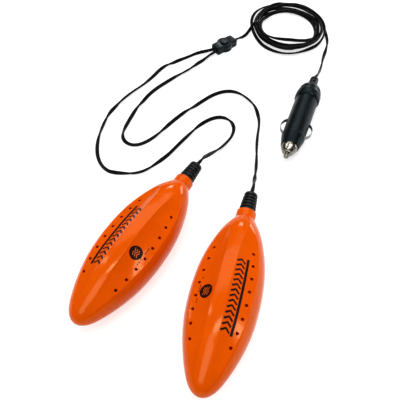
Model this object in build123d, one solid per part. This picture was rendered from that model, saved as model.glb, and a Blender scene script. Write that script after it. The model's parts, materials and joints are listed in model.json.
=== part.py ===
"""Twelve-volt boot dryer: two heated pods, two leads, an inline switch and a car plug.

Millimetres. +Z is up and z = 0 is the surface that the dryer lies on. The origin is under
the middle of the two pods. Each pod is drawn along +X, from its tip to its cable collar,
and then laid in its place.
"""
import os
from math import cos, hypot, pi, radians, sin, tan

from build123d import *

# ---------------------------------------------------------------- driving dimensions
# Pod
POD_LENGTH = 135.0
POD_WIDTH = 48.0
POD_FLATNESS = 0.875                  # height over width
POD_WALL = 1.8
COLLAR_RADIUS = 7.4
COLLAR_LENGTH = 6.5
COLLAR_BORE = 4.0
COLLAR_CHAMFER = 0.4
NOSE_RADIUS = 2.2                     # flat end of the tip, before its rounding
POD_OUTLINE = [                       # share of the length from the tip, share of the width
    (0.035, 0.173),
    (0.111, 0.290),
    (0.222, 0.402),
    (0.333, 0.471),
    (0.460, 0.500),
    (0.580, 0.492),
    (0.690, 0.450),
    (0.790, 0.375),
    (0.880, 0.274),
]
PODS = {                              # centre, heading from +Y towards +X, roll about the axis
    "left": (-26.0, 15.0, 30.5, 3.2),
    "right": (37.2, -23.0, 15.0, -5.6),
}

# Flutes: four long hollows between the ribs, cut by rings of round section
FLUTE_AZIMUTH = 32.5                  # from the top rib to the middle of a flute
FLUTE_SECTION = 35.0
FLUTE_FLOOR = 21.1                    # floor's distance from the axis at mid length
FLUTE_ARC = 172.0                     # radius of the floor along the pod
FLUTE_MIDDLE = 0.482                  # share of the length
VENT_RADIUS = 1.0
VENT_AZIMUTH = 51.7                   # in the middle of a row, which bows in at its ends
VENT_BOW = 0.0035                     # degrees for each square millimetre from the middle
VENT_MIDDLE = 58.0
VENT_COUNT = 8
VENT_FIRST = 28.8
VENT_PITCH = 9.3

# Screws that hold a pod's halves together
SCREW_X = (32.0, 112.0)
SCREW_RADIUS = 1.1
SCREW_HEAD_RADIUS = 2.3
SCREW_HEAD_HEIGHT = 1.8
SCREW_TOP = 5.0
BOSS_RADIUS = 3.2
BOSS_FLOOR = 6.0                      # thickness of boss left above the head, below z = 0

# Heater
HEATER_START = 40.0
HEATER_LENGTH = 58.0
TABLET_LENGTH = 15.0
TABLET_COUNT = 3
TABLET_WIDTH = 10.0
TABLET_THICKNESS = 2.2
ELECTRODE_THICKNESS = 0.4
ELECTRODE_WIDTH = 12.0
ELECTRODE_TAB = 6.0
INSULATOR_THICKNESS = 0.3
INSULATOR_WIDTH = 15.0
SINK_WIDTH = 17.0
SINK_BASE = 1.6
FIN_HEIGHT = 5.5
FIN_THICKNESS = 1.1
FIN_COUNT = 6
BRACKET_THICKNESS = 2.0
CUTOUT_SIZE = (13.0, 6.0, 3.4)

# Cable boot
BOOT_LENGTH = 17.5
BOOT_BASE_RADIUS = 6.2
BOOT_END_RADIUS = 5.1
BOOT_RINGS = 6
BOOT_FLANGE_RADIUS = 5.5
BOOT_FLANGE = 2.0

# Cord: a flat twin lead, kept as a round tube of its width
CORD_WIDTH = 3.4
CORD_RADIUS = CORD_WIDTH / 2
WIRE_RADIUS = 0.75
LIE = CORD_RADIUS                     # height of a cord's middle where it lies on the floor

# Inline switch, which is also where the two leads join
SWITCH_AT = (45.6, 267.6)
SWITCH_HEADING = 39.5                 # from +X towards +Y
SWITCH_LENGTH = 26.0
SWITCH_END_WIDTH = 11.5
SWITCH_BULGE_RADIUS = 8.0
SWITCH_HEIGHT = 8.0
SWITCH_WALL = 1.4
SWITCH_PARTING = 3.6
BUTTON_RADIUS = 3.85
BUTTON_PROUD = 1.2
INLET_SPREAD = 1.9
SWITCH_INLET_Z = 3.8
CONTACT_BASE = 1.2

# Car plug, measured along its axis from the cable end
PLUG_CABLE_END = (129.8, 204.2)
PLUG_HEADING = 201.0                  # from +Y towards +X, cable end to tip
PLUG_AXIS_Z = 11.6
RELIEF_LENGTH = 14.0
CAP_END = 34.0
BARREL_END = 81.0
RING_END = 93.5
CONE_END = 101.5
PIN_END = 106.5
CAP_RADIUS = 11.5
BARREL_RADIUS = 10.2                  # the plain rear stretch, which a socket grips
BARREL_FRONT_RADIUS = 10.0
BARREL_STEP = 60.0
BARREL_BORE = 7.8
SLOT_WIDTH = 4.8
SPRING_WIDTH = 4.0
SPRING_THICKNESS = 0.5
SPRING_START = 61.5
SPRING_END = 80.5
SPRING_CROWN = 14.2
SPRING_FOOT = 8.2
FUSE_RADIUS = 3.1
FUSE_LENGTH = 30.0
FUSE_START = 54.0
FUSE_CAP = 5.0
CARRIER_START = 44.0
CARRIER_RADIUS = 4.2
CARRIER_FLAT = 3.6                    # clears the pressed springs

# ---------------------------------------------------------------- cord routes
# Each point is (x, y, z). The first and last points are the ends of the cord.
LEFT_LEAD = [
    (17.1, 88.2, 21.0),
    (21.8, 96.6, 20.5),
    (26.5, 106.5, 13.0),
    (33.0, 117.5, 5.0),
    (41.5, 128.5, LIE),
    (50.5, 141.5, LIE),
    (51.0, 157.0, LIE),
    (39.0, 164.5, LIE),
    (25.0, 159.0, LIE),
    (7.0, 138.0, LIE),
    (-11.0, 112.5, LIE),
    (-28.0, 97.5, LIE),
    (-46.0, 95.5, LIE),
    (-62.0, 100.5, LIE),
    (-70.5, 119.0, LIE),
    (-70.5, 144.0, LIE),
    (-64.0, 172.0, LIE),
    (-47.0, 196.5, LIE),
    (-31.0, 212.5, LIE),
    (-17.0, 237.0, LIE),
    (5.0, 249.0, LIE),
    (16.5, 257.0, LIE),
    (26.0, 259.6, 2.8),
    (34.4, 260.8, SWITCH_INLET_Z),
]
RIGHT_LEAD = [
    (59.2, 59.1, 21.0),
    (61.5, 67.6, 20.5),
    (63.5, 78.5, 12.5),
    (66.3, 92.5, 4.5),
    (68.5, 108.0, LIE),
    (70.5, 134.0, LIE),
    (75.5, 160.0, LIE),
    (71.0, 182.5, LIE),
    (56.5, 198.5, LIE),
    (38.0, 198.5, LIE),
    (18.0, 181.0, LIE),
    (-2.0, 162.5, LIE),
    (-15.0, 144.5, LIE),
    (-27.0, 132.8, LIE),
    (-36.8, 128.2, LIE),
    (-45.6, 131.2, LIE),
    (-50.0, 139.6, LIE),
    (-48.0, 150.2, LIE),
    (-43.0, 166.0, LIE),
    (-35.5, 183.5, LIE),
    (-23.5, 202.5, LIE),
    (-3.0, 221.0, LIE),
    (14.5, 236.5, LIE),
    (26.2, 249.4, 2.2),
    (31.6, 254.0, 3.2),
    (36.8, 257.9, SWITCH_INLET_Z),
]
MAIN_CORD_START = [
    (55.6, 275.8, SWITCH_INLET_Z),
    (60.5, 280.0, 3.6),
    (66.5, 284.0, 2.2),
    (72.0, 291.0, 2.2),
    (77.5, 297.5, 3.4),
]
MAIN_CORD_END = [
    (156.6, 290.0, 3.4),
    (156.4, 281.0, 2.2),
    (153.5, 267.0, LIE),
    (147.0, 250.0, LIE),
    (142.5, 234.0, LIE),
    (138.5, 224.0, 3.5),
    (134.5, 214.5, 8.5),
    (131.6, 208.9, 11.2),
    (129.8, 204.2, PLUG_AXIS_Z),
]

# Coil: an uneven oval bundle of turns, with one turn drawn in across its near side
COIL_CENTRE = (118.0, 300.5)
COIL_HALF = (41.0, 46.0)
COIL_HOLE_CENTRE = (114.5, 304.5)
COIL_HOLE_HALF = (28.5, 22.0)
COIL_HEIGHT = 9.0
COIL_EDGE = 2.2

os.makedirs("parts", exist_ok=True)


# ---------------------------------------------------------------- helpers
def save(name, shape):
    """Write one node, a solid or a group of solids."""
    solids = shape.solids()
    whole = solids[0] if len(solids) == 1 else Compound(children=list(solids))
    export_step(whole, f"parts/{name}.step")


def group(shapes):
    """Several separate solids as one shape."""
    return Compound(children=[solid for shape in shapes for solid in shape.solids()])


def turned(points):
    """Solid of revolution about +X from an outline of (x, radius) points."""
    outline = Polyline(*[(x, r) for x, r in points], close=True)
    return revolve(make_face(outline), Axis.X)


def rod(start, length, radius):
    """Cylinder along +X."""
    return Location((start, 0, 0)) * Rot(0, 90, 0) * extrude(Circle(radius), length)


def tube(start, length, radius, bore):
    """Hollow cylinder along +X."""
    return rod(start, length, radius) - rod(start, length, bore)


def block(x0, x1, y0, y1, z0, z1):
    """Box from its limits."""
    centre = ((x0 + x1) / 2, (y0 + y1) / 2, (z0 + z1) / 2)
    return Location(centre) * Box(x1 - x0, y1 - y0, z1 - z0)


def corner_radii(points):
    """Radius of the arc at each inner point: 0.45 of the shorter run over tan(half turn)."""
    radii = []
    for before, here, after in zip(points, points[1:], points[2:]):
        run_in = Vector(*here) - Vector(*before)
        run_out = Vector(*after) - Vector(*here)
        half_turn = radians(run_in.get_angle(run_out)) / 2
        radii.append(0.45 * min(run_in.length, run_out.length) / tan(half_turn))
    return radii


def swept(points, radius, name=None):
    """Round tube along straight runs joined by tangent arcs."""
    radii = corner_radii(points)
    path = FilletPolyline(*points, radius=radii)
    start = Plane(origin=points[0], z_dir=Vector(*points[1]) - Vector(*points[0]))
    solid = sweep(start * Circle(radius), path=path)
    if name:
        share = solid.volume / (pi * radius**2 * path.length)
        print(name, "length", round(path.length, 1), "volume share", round(share, 4))
        print("  radii", [round(r, 1) for r in radii])
    return solid


def helix_spring(radius, wire, pitch, height):
    """Coil spring along +Z from z = 0."""
    path = Helix(pitch=pitch, height=height, radius=radius)
    start = Plane(origin=path @ 0, z_dir=path % 0)
    return sweep(start * Circle(wire), path=path, is_frenet=True)


# ---------------------------------------------------------------- pod
def pod_outline(inset):
    """Half outline of the pod, drawn in by inset: rounded tip, body, and its cable end."""
    stations = [(share * POD_LENGTH, width * POD_WIDTH - inset) for share, width in POD_OUTLINE]
    tip = (inset, 0)
    brow = (inset + 0.7, NOSE_RADIUS)
    neck = (POD_LENGTH - COLLAR_LENGTH, COLLAR_RADIUS - inset)
    body = Spline(brow, *stations, neck)
    nose = Line(tip, brow)
    back = Line(neck, (neck[0], 0))
    base = Line((neck[0], 0), tip)
    return make_face(Curve() + [nose, body, back, base])


def flute_cutters(inset):
    """Four rings whose inner sides are the flutes' floors, drawn in by inset."""
    section = FLUTE_SECTION + inset
    centre_rho = FLUTE_FLOOR - FLUTE_ARC
    cutters = []
    for quarter in (FLUTE_AZIMUTH, -FLUTE_AZIMUTH, 180 - FLUTE_AZIMUTH, 180 + FLUTE_AZIMUTH):
        ring = Torus(FLUTE_ARC + FLUTE_SECTION, section)
        ring = Location((POD_LENGTH * FLUTE_MIDDLE, 0, centre_rho)) * Rot(90, 0, 0) * ring
        cutters.append(Rot(quarter, 0, 0) * ring)
    return cutters


def pod_body(inset):
    """The pod's fluted spindle before it is flattened."""
    body = revolve(pod_outline(inset), Axis.X)
    for cutter in flute_cutters(inset):
        body -= cutter
    return body


def flattened(shape):
    """Bring a round pod shape to its real height."""
    return scale(shape, by=(1, 1, POD_FLATNESS))


def half_space(upper):
    """Everything above or below the parting plane."""
    reach = 2 * POD_WIDTH
    z0, z1 = (0, reach) if upper else (-reach, 0)
    return block(-reach, 3 * reach, -reach, reach, z0, z1)


def vent_drills():
    """Drills for the rows of small holes along the outer side of each flute."""
    drills = []
    for k in range(VENT_COUNT):
        x = VENT_FIRST + k * VENT_PITCH
        azimuth = VENT_AZIMUTH - VENT_BOW * (x - VENT_MIDDLE) ** 2
        for turn in (azimuth, -azimuth, 180 - azimuth, 180 + azimuth):
            drill = extrude(Circle(VENT_RADIUS), POD_WIDTH)
            drills.append(Location((x, 0, 0)) * Rot(turn, 0, 0) * drill)
    return drills


def collar():
    """Round collar that the two halves make around the cable boot."""
    start = POD_LENGTH - COLLAR_LENGTH
    end = POD_LENGTH
    outline = [
        (start - 5, COLLAR_BORE),
        (start - 5, COLLAR_RADIUS - 1),
        (start, COLLAR_RADIUS),
        (end - COLLAR_CHAMFER, COLLAR_RADIUS),
        (end, COLLAR_RADIUS - COLLAR_CHAMFER),
        (end, COLLAR_BORE),
    ]
    return turned(outline)


def pod_shell(outer, cavity, upper):
    """One half of a pod's case, with its screw bosses and vent holes."""
    half = half_space(upper)
    room = cavity & half
    shell = (outer & half) - cavity
    for x in SCREW_X:
        reach = POD_WIDTH if upper else -POD_WIDTH
        post = Location((x, 0, 0)) * extrude(Circle(BOSS_RADIUS), reach)
        shell += post & room
    shell = flattened(shell)
    shell += collar() & half
    for x in SCREW_X:
        drill = extrude(Circle(SCREW_RADIUS), SCREW_TOP if upper else -POD_WIDTH)
        shell -= Location((x, 0, 0)) * drill
        if not upper:
            recess = extrude(Circle(SCREW_HEAD_RADIUS), -POD_WIDTH)
            shell -= Location((x, 0, -BOSS_FLOOR)) * recess
    shell -= rod(POD_LENGTH - COLLAR_LENGTH - 6, COLLAR_LENGTH + 7, COLLAR_BORE)
    return shell - vent_drills()


def shell_screws():
    """Two self-tapping screws, driven from below."""
    screws = []
    for x in SCREW_X:
        shank = Location((0, 0, -BOSS_FLOOR)) * extrude(Circle(SCREW_RADIUS), BOSS_FLOOR + SCREW_TOP)
        head = Location((0, 0, -BOSS_FLOOR)) * extrude(Circle(SCREW_HEAD_RADIUS - 0.1), -SCREW_HEAD_HEIGHT)
        drive = Location((0, 0, -BOSS_FLOOR - SCREW_HEAD_HEIGHT)) * extrude(RegularPolygon(1.2, 6), 1.0)
        screws.append(Location((x, 0, 0)) * (shank + head - drive))
    return group(screws)


def cable_boot():
    """Ribbed rubber boot: flange inside the collar, neck through it, tapered sleeve outside."""
    inner = POD_LENGTH - COLLAR_LENGTH - 5
    outline = [
        (inner - BOOT_FLANGE, CORD_RADIUS),
        (inner - BOOT_FLANGE, BOOT_FLANGE_RADIUS),
        (inner, BOOT_FLANGE_RADIUS),
        (inner, COLLAR_BORE),
        (POD_LENGTH, COLLAR_BORE),
        (POD_LENGTH, BOOT_BASE_RADIUS),
    ]
    pitch = BOOT_LENGTH / BOOT_RINGS
    for k in range(BOOT_RINGS):
        share = k / (BOOT_RINGS - 1)
        crest = BOOT_BASE_RADIUS + (BOOT_END_RADIUS - BOOT_BASE_RADIUS) * share
        start = POD_LENGTH + k * pitch
        outline += [
            (start + 0.15 * pitch, crest),
            (start + 0.60 * pitch, crest - 0.15),
            (start + 0.75 * pitch, crest - 0.95),
            (start + pitch, crest - 0.95),
        ]
    outline.append((POD_LENGTH + BOOT_LENGTH, CORD_RADIUS))
    return turned(outline)


def heater_layers():
    """Heights of the heater's layers above the pod's axis, from its middle outwards."""
    electrode = TABLET_THICKNESS / 2
    insulator = electrode + ELECTRODE_THICKNESS
    sink = insulator + INSULATOR_THICKNESS
    return electrode, insulator, sink


def heating_tablets():
    """Ceramic heating tablets in a row."""
    gap = (HEATER_LENGTH - TABLET_COUNT * TABLET_LENGTH) / (TABLET_COUNT + 1)
    half = TABLET_WIDTH / 2
    tablets = []
    for k in range(TABLET_COUNT):
        x = HEATER_START + gap + k * (TABLET_LENGTH + gap)
        z = TABLET_THICKNESS / 2
        tablets.append(block(x, x + TABLET_LENGTH, -half, half, -z, z))
    return group(tablets)


def electrode_plates():
    """Two strips that carry the current over and under the tablets, each with a solder tab."""
    z, top, _ = heater_layers()
    end = HEATER_START + HEATER_LENGTH
    half = ELECTRODE_WIDTH / 2
    upper = block(HEATER_START + 1, end, -half, half, z, top)
    upper += block(end, end + ELECTRODE_TAB, -half, -half + 3, z, top)
    lower = block(HEATER_START + 1, end, -half, half, -top, -z)
    lower += block(end, end + ELECTRODE_TAB, half - 3, half, -top, -z)
    return group([upper, lower])


def insulator_sheets():
    """Mica sheets between the electrodes and the heat sinks."""
    _, z, top = heater_layers()
    end = HEATER_START + HEATER_LENGTH
    half = INSULATOR_WIDTH / 2
    upper = block(HEATER_START, end, -half, half, z, top)
    lower = block(HEATER_START, end, -half, half, -top, -z)
    return group([upper, lower])


def heat_sink(upper):
    """Finned aluminium plate."""
    _, _, z = heater_layers()
    end = HEATER_START + HEATER_LENGTH
    half = SINK_WIDTH / 2
    sink = block(HEATER_START, end, -half, half, z, z + SINK_BASE)
    pitch = (SINK_WIDTH - FIN_THICKNESS) / (FIN_COUNT - 1)
    for k in range(FIN_COUNT):
        y = -half + k * pitch
        top = z + SINK_BASE + FIN_HEIGHT
        sink += block(HEATER_START, end, y, y + FIN_THICKNESS, z + SINK_BASE, top)
    return sink if upper else Rot(180, 0, 0) * sink


def sink_height():
    """Distance from the pod's axis to the tips of the fins."""
    return heater_layers()[2] + SINK_BASE + FIN_HEIGHT


def heater_brackets(cavity):
    """Two plastic saddles that stand in the lower shell and hold the heater's ends."""
    room = flattened(cavity & half_space(False))
    reach = POD_WIDTH
    saddles = []
    for x in (HEATER_START + 3, HEATER_START + HEATER_LENGTH - 3 - BRACKET_THICKNESS):
        saddle = room & block(x, x + BRACKET_THICKNESS, -reach, reach, -reach, 0)
        half = SINK_WIDTH / 2
        saddle -= block(x - 1, x + BRACKET_THICKNESS + 1, -half, half, -sink_height(), 1)
        saddles.append(saddle)
    return group(saddles)


def thermal_cutout():
    """Cut-out in line with one wire."""
    length, width, height = CUTOUT_SIZE
    body = Box(length, width, height)
    body = fillet(body.edges().filter_by(Axis.Z), 1.0)
    x = HEATER_START + HEATER_LENGTH - 8
    return Location((x, 0, sink_height() + height / 2)) * body


def internal_wires():
    """The lead's two cores, from the boot's inner end to the electrodes' tabs."""
    _, top, _ = heater_layers()
    start = POD_LENGTH - COLLAR_LENGTH - 5 - BOOT_FLANGE
    tab = HEATER_START + HEATER_LENGTH + 3
    y = ELECTRODE_WIDTH / 2 - 1.5
    wires = []
    for side in (-1, 1):
        z = -side * (top + WIRE_RADIUS)
        route = [
            (start, 0.9 * side, 0),
            (start - 3.5, 1.8 * side, 0),
            (start - 7.5, 5.2 * side, 0.4 * z),
            (start - 13.0, 5.3 * side, z),
            (tab, y * side, z),
        ]
        wires.append(swept(route, WIRE_RADIUS))
    return group(wires)


def pod_place(side):
    """Where a pod lies: its middle over its centre, tip towards the front, its oval on the floor."""
    x, y, heading, roll = PODS[side]
    half_width = POD_WIDTH / 2 * sin(radians(roll))
    half_height = POD_WIDTH / 2 * POD_FLATNESS * cos(radians(roll))
    spot = Location((x, y, hypot(half_width, half_height))) * Rot(0, 0, 90 - heading)
    return spot * Rot(roll, 0, 0) * Location((-POD_LENGTH / 2, 0, 0))


def build_pods():
    """Both pods, from the same pieces."""
    outer = pod_body(0)
    cavity = pod_body(POD_WALL)
    pieces = {
        "shell_top": pod_shell(outer, cavity, True),
        "shell_bottom": pod_shell(outer, cavity, False),
        "shell_screws": shell_screws(),
        "cable_boot": cable_boot(),
        "heating_tablets": heating_tablets(),
        "electrode_plates": electrode_plates(),
        "insulator_sheets": insulator_sheets(),
        "upper_heat_sink": heat_sink(True),
        "lower_heat_sink": heat_sink(False),
        "heater_brackets": heater_brackets(cavity),
        "thermal_cutout": thermal_cutout(),
        "internal_wires": internal_wires(),
    }
    for side in PODS:
        place = pod_place(side)
        for name, piece in pieces.items():
            save(f"{side}_{name}", place * piece)


# ---------------------------------------------------------------- cord
def cord_coil():
    """Outer shape of the loose coil."""
    ring = Location((*COIL_CENTRE, 0)) * extrude(Ellipse(*COIL_HALF), COIL_HEIGHT)
    ring = fillet(ring.edges(), COIL_EDGE)
    hole = Location((*COIL_HOLE_CENTRE, -1)) * extrude(Ellipse(*COIL_HOLE_HALF), COIL_HEIGHT + 2)
    return ring - hole


def build_cords():
    """Two leads and the main cord's free stretches and coil."""
    save("left_lead", swept(LEFT_LEAD, CORD_RADIUS, "left lead"))
    save("right_lead", swept(RIGHT_LEAD, CORD_RADIUS, "right lead"))
    save("main_cord_start", swept(MAIN_CORD_START, CORD_RADIUS, "main cord, start"))
    save("main_cord_end", swept(MAIN_CORD_END, CORD_RADIUS, "main cord, end"))
    save("cord_coil", cord_coil())


# ---------------------------------------------------------------- inline switch
def switch_plan(inset):
    """Outline of the switch: a block with a round bulge around the button."""
    bar = Rectangle(SWITCH_LENGTH - 2 * inset, SWITCH_END_WIDTH - 2 * inset)
    return bar + Circle(SWITCH_BULGE_RADIUS - inset)


def switch_ports():
    """Drills for the three cords where they enter the case."""
    half = SWITCH_LENGTH / 2
    ports = []
    for x, y in ((-half, INLET_SPREAD), (-half, -INLET_SPREAD), (half, 0)):
        drill = Rot(0, 90, 0) * Cylinder(CORD_RADIUS, 6)
        ports.append(Location((x, y, SWITCH_INLET_Z)) * drill)
    return ports


def switch_case_bottom():
    """Tray of the switch."""
    tray = extrude(switch_plan(0), SWITCH_PARTING)
    tray = chamfer(tray.faces().sort_by(Axis.Z)[0].edges(), 0.8)
    tray -= Location((0, 0, SWITCH_WALL)) * extrude(switch_plan(SWITCH_WALL), SWITCH_HEIGHT)
    return tray - switch_ports()


def switch_case_top():
    """Lid of the switch, with the button's round opening."""
    lid = Location((0, 0, SWITCH_PARTING)) * extrude(switch_plan(0), SWITCH_HEIGHT - SWITCH_PARTING)
    lid = fillet(lid.faces().sort_by(Axis.Z)[-1].edges(), 1.2)
    room = extrude(switch_plan(SWITCH_WALL), SWITCH_HEIGHT - SWITCH_WALL)
    lid -= room
    lid -= extrude(Circle(BUTTON_RADIUS + 0.3), SWITCH_HEIGHT + 1)
    return lid - switch_ports()


def switch_button():
    """Round button with a wide foot that the lid holds in."""
    top = SWITCH_HEIGHT + BUTTON_PROUD
    foot = SWITCH_HEIGHT - SWITCH_WALL - 0.1
    stem = Location((0, 0, foot)) * extrude(Circle(BUTTON_RADIUS), top - foot)
    stem = fillet(stem.faces().sort_by(Axis.Z)[-1].edges(), 0.9)
    return stem + Location((0, 0, foot - 1)) * extrude(Circle(BUTTON_RADIUS + 0.9), 1)


def switch_spring():
    """Return spring under the button."""
    foot = SWITCH_HEIGHT - SWITCH_WALL - 1.1
    base = SWITCH_WALL + CONTACT_BASE
    wire = 0.22
    spring = helix_spring(1.9, wire, 1.1, foot - base - 2 * wire)
    return Location((0, 0, base + wire)) * spring


def switch_contacts():
    """Base plate with two contact blades."""
    seat = SWITCH_WALL + CONTACT_BASE
    base = block(-5, 5, -2.9, 2.9, SWITCH_WALL, seat)
    blades = [block(x - 0.3, x + 0.3, -2.4, 2.4, seat, seat + 1.6) for x in (-4.2, 4.2)]
    return base + blades


def wire_crimps():
    """Crimped joints between the leads' cores and the main cord's."""
    crimps = []
    for y in (-INLET_SPREAD, INLET_SPREAD):
        crimp = Rot(0, 90, 0) * Cylinder(1.1, 3.4)
        crimps.append(Location((-7.8, y, SWITCH_INLET_Z - 0.9)) * crimp)
    return group(crimps)


def build_switch():
    """The inline switch in its place."""
    place = Location((*SWITCH_AT, 0)) * Rot(0, 0, SWITCH_HEADING)
    pieces = {
        "switch_case_bottom": switch_case_bottom(),
        "switch_case_top": switch_case_top(),
        "switch_button": switch_button(),
        "switch_spring": switch_spring(),
        "switch_contacts": switch_contacts(),
        "switch_wire_crimps": wire_crimps(),
    }
    for name, piece in pieces.items():
        save(name, place * piece)


# ---------------------------------------------------------------- car plug, along +X
def plug_strain_relief():
    """Rubber sleeve on the cord, held in the end cap by its flange."""
    outline = [
        (0, CORD_RADIUS),
        (0, 3.4),
        (0.6, 3.9),
        (RELIEF_LENGTH, 4.3),
        (RELIEF_LENGTH + 2.2, 4.3),
        (RELIEF_LENGTH + 2.2, 6.0),
        (RELIEF_LENGTH + 4.2, 6.0),
        (RELIEF_LENGTH + 4.2, CORD_RADIUS),
    ]
    sleeve = turned(outline)
    for x in (3.6, 7.2, 10.8):
        for side in (-1, 1):
            sleeve -= Location((x, 0, 3.6 * side)) * Box(1.7, 3.2, 1.6)
            sleeve -= Location((x, 3.6 * side, 0)) * Box(1.7, 1.6, 3.2)
    return sleeve


def plug_end_cap():
    """Domed cap with a grip groove, screwed on the barrel's rear."""
    start = RELIEF_LENGTH
    outline = [
        (start, 4.3),
        (start, 6.4),
        (start + 1.0, 7.8),
        (start + 2.8, 9.2),
        (start + 5.2, 10.2),
        (start + 8.0, 10.8),
        (start + 8.0, 10.2),
        (start + 9.2, 10.2),
        (start + 9.2, 11.0),
        (start + 12.5, CAP_RADIUS),
        (CAP_END - 2.5, CAP_RADIUS),
        (CAP_END, BARREL_RADIUS + 0.5),
        (CAP_END, 8.6),
        (start + 4.2, 8.6),
        (start + 4.2, 6.0),
        (start + 2.2, 6.0),
        (start + 2.2, 4.3),
    ]
    return turned(outline)


def plug_barrel():
    """Barrel with a threaded rear, a plain grip stretch and two slots for the springs."""
    outline = [
        (RELIEF_LENGTH + 6, BARREL_BORE),
        (RELIEF_LENGTH + 6, 8.6),
        (CAP_END, 8.6),
        (CAP_END, BARREL_RADIUS),
        (BARREL_STEP, BARREL_RADIUS),
        (BARREL_STEP, BARREL_FRONT_RADIUS),
        (BARREL_END, BARREL_FRONT_RADIUS),
        (BARREL_END, 6.4),
        (BARREL_END - 1.8, 6.4),
        (BARREL_END - 1.8, BARREL_BORE),
    ]
    barrel = turned(outline)
    length = SPRING_END - SPRING_START + 0.6
    middle = (SPRING_START + SPRING_END) / 2
    for side in (-1, 1):
        slot = Location((middle, side * 10, 0)) * Box(length, 12, SLOT_WIDTH)
        barrel -= slot
    return barrel


def fuse_carrier():
    """Inner sleeve that carries the fuse, with its rear wall and two flats."""
    rear = CARRIER_START
    carrier = tube(rear, BARREL_END - rear - 0.5, CARRIER_RADIUS, FUSE_RADIUS + 0.1)
    for y0, y1 in ((CARRIER_FLAT, BARREL_BORE), (-BARREL_BORE, -CARRIER_FLAT)):
        carrier -= block(BARREL_STEP, BARREL_END, y0, y1, -CARRIER_RADIUS, CARRIER_RADIUS)
    disc = tube(rear - 2, 2, BARREL_BORE, 1.0)
    inner, reach = CARRIER_RADIUS - 0.1, BARREL_BORE - 0.1
    ribs = block(rear, BARREL_STEP - 2, -0.6, 0.6, inner, reach)
    ribs += block(rear, BARREL_STEP - 2, -0.6, 0.6, -reach, -inner)
    return carrier + disc + ribs


def fuse_glass():
    """Glass tube of the fuse."""
    start = FUSE_START + FUSE_CAP
    return tube(start, FUSE_LENGTH - 2 * FUSE_CAP, FUSE_RADIUS - 0.2, FUSE_RADIUS - 0.9)


def fuse_caps():
    """Metal end caps of the fuse."""
    first = rod(FUSE_START, FUSE_CAP, FUSE_RADIUS)
    last = rod(FUSE_START + FUSE_LENGTH - FUSE_CAP, FUSE_CAP, FUSE_RADIUS)
    return group([first, last])


def fuse_spring():
    """Spring between the fuse carrier's rear wall and the fuse."""
    wire = 0.3
    spring = helix_spring(2.2, wire, 1.9, FUSE_START - CARRIER_START - 2 * wire)
    return Location((CARRIER_START + wire, 0, 0)) * Rot(0, 90, 0) * spring


def nose_ring():
    """Tapered black ring that holds the metal cone on the barrel."""
    outline = [
        (BARREL_END, 6.6),
        (BARREL_END, 10.2),
        (BARREL_END + 0.8, 10.2),
        (RING_END, 7.7),
        (RING_END, 6.0),
        (BARREL_END + 5, 6.0),
        (BARREL_END + 5, 6.6),
    ]
    return turned(outline)


def metal_cone():
    """Nickel-plated cone: a flanged cup that the fuse rests in and the tip runs through."""
    outline = [
        (BARREL_END + 0.1, 5.2),
        (BARREL_END + 0.1, 6.2),
        (BARREL_END + 3.4, 6.2),
        (BARREL_END + 3.4, 6.0),
        (RING_END, 6.0),
        (RING_END, 7.1),
        (RING_END + 2.5, 6.8),
        (CONE_END - 1.6, 5.0),
        (CONE_END - 0.4, 4.2),
        (CONE_END, 3.4),
        (CONE_END, 2.1),
        (CONE_END - 2.0, 2.1),
        (CONE_END - 2.0, 3.4),
        (RING_END, 4.2),
        (BARREL_END + 3.4, 5.2),
    ]
    return turned(outline)


def tip_pin():
    """Sprung centre contact with a ball end."""
    inside = CONE_END - 2.1
    outline = [
        (inside - 5.0, 0),
        (inside - 5.0, 1.6),
        (inside - 1.2, 1.6),
        (inside - 1.2, 3.2),
        (inside, 3.2),
        (inside, 2.0),
        (CONE_END + 0.9, 2.0),
        (CONE_END + 1.4, 1.4),
        (CONE_END + 2.0, 1.4),
        (CONE_END + 2.6, 2.0),
        (CONE_END + 3.2, 2.35),
        (CONE_END + 4.1, 2.2),
        (CONE_END + 4.6, 1.5),
        (PIN_END, 0),
    ]
    return turned(outline)


def tip_spring():
    """Spring behind the centre contact's collar."""
    front = CONE_END - 2.1 - 1.2
    back = BARREL_END + 4.2
    wire = 0.28
    spring = helix_spring(2.5, wire, 1.5, front - back - 2 * wire)
    return Location((back + wire, 0, 0)) * Rot(0, 90, 0) * spring


def fuse_seat():
    """Washer between the fuse's front cap and the tip's spring."""
    return rod(BARREL_END + 3.4, 0.8, 4.6)


def ground_spring(side):
    """Bowed earth spring that stands out of its slot."""
    middle = (SPRING_START + SPRING_END) / 2
    half = (SPRING_END - SPRING_START) / 2
    rise = SPRING_CROWN - SPRING_FOOT
    radius = (half**2 + rise**2) / (2 * rise)
    outer = ThreePointArc(
        (SPRING_START, SPRING_FOOT), (middle, SPRING_CROWN), (SPRING_END, SPRING_FOOT)
    )
    centre = (middle, SPRING_CROWN - radius)
    shrink = (radius - SPRING_THICKNESS) / radius
    start = [centre[i] + (p - centre[i]) * shrink for i, p in enumerate((SPRING_START, SPRING_FOOT))]
    end = [centre[i] + (p - centre[i]) * shrink for i, p in enumerate((SPRING_END, SPRING_FOOT))]
    inner = ThreePointArc(tuple(end), (middle, SPRING_CROWN - SPRING_THICKNESS), tuple(start))
    sides = [Line((SPRING_END, SPRING_FOOT), tuple(end)), Line(tuple(start), (SPRING_START, SPRING_FOOT))]
    strip = extrude(make_face(Curve() + [outer, *sides, inner]), SPRING_WIDTH / 2, both=True)
    return strip if side > 0 else mirror(strip, Plane.XZ)


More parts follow.
